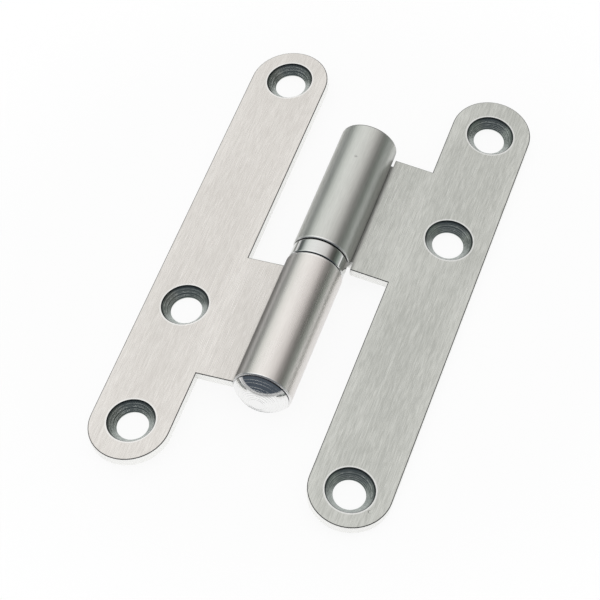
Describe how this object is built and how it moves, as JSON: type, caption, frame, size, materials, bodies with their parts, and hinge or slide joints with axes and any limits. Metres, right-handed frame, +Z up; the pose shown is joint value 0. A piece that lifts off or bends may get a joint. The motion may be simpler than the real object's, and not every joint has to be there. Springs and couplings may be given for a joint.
{
  "type": "lift-off pivot hinge",
  "caption": "Lift-off pivot hinge in satin stainless steel, with round-ended leaves, rolled knuckles, a bearing ring and a domed pin.",
  "frame": {"origin": "on the pivot axis, half way along the leaves and in the middle of the bearing ring", "axes": "+Y along the pivot axis, from the pin's domed head towards the end that the upper leaf lifts off; +X towards the upper leaf; +Z up, away from the bench that the open hinge lies on"},
  "size_m": [0.0576, 0.1, 0.0112],
  "materials": {
    "satin_steel": "brushed lengthwise",
    "polished_steel": "polished"
  },
  "bodies": {
    "lower": {"lower_leaf": "satin_steel", "pin": "polished_steel"},
    "ring": {"bearing_ring": "polished_steel"},
    "upper": {"upper_leaf": "satin_steel"}
  },
  "joints": [
    {"name": "swing", "type": "hinge", "parent": "lower", "child": "ring", "pos_m": [0, 0, 0], "axis": [0, -1, 0], "range_deg": [-144.5, 190.8]},
    {"name": "lift_off", "type": "slide", "parent": "ring", "child": "upper", "axis": [0, 1, 0], "range_m": [0, 0.0285]}
  ]
}
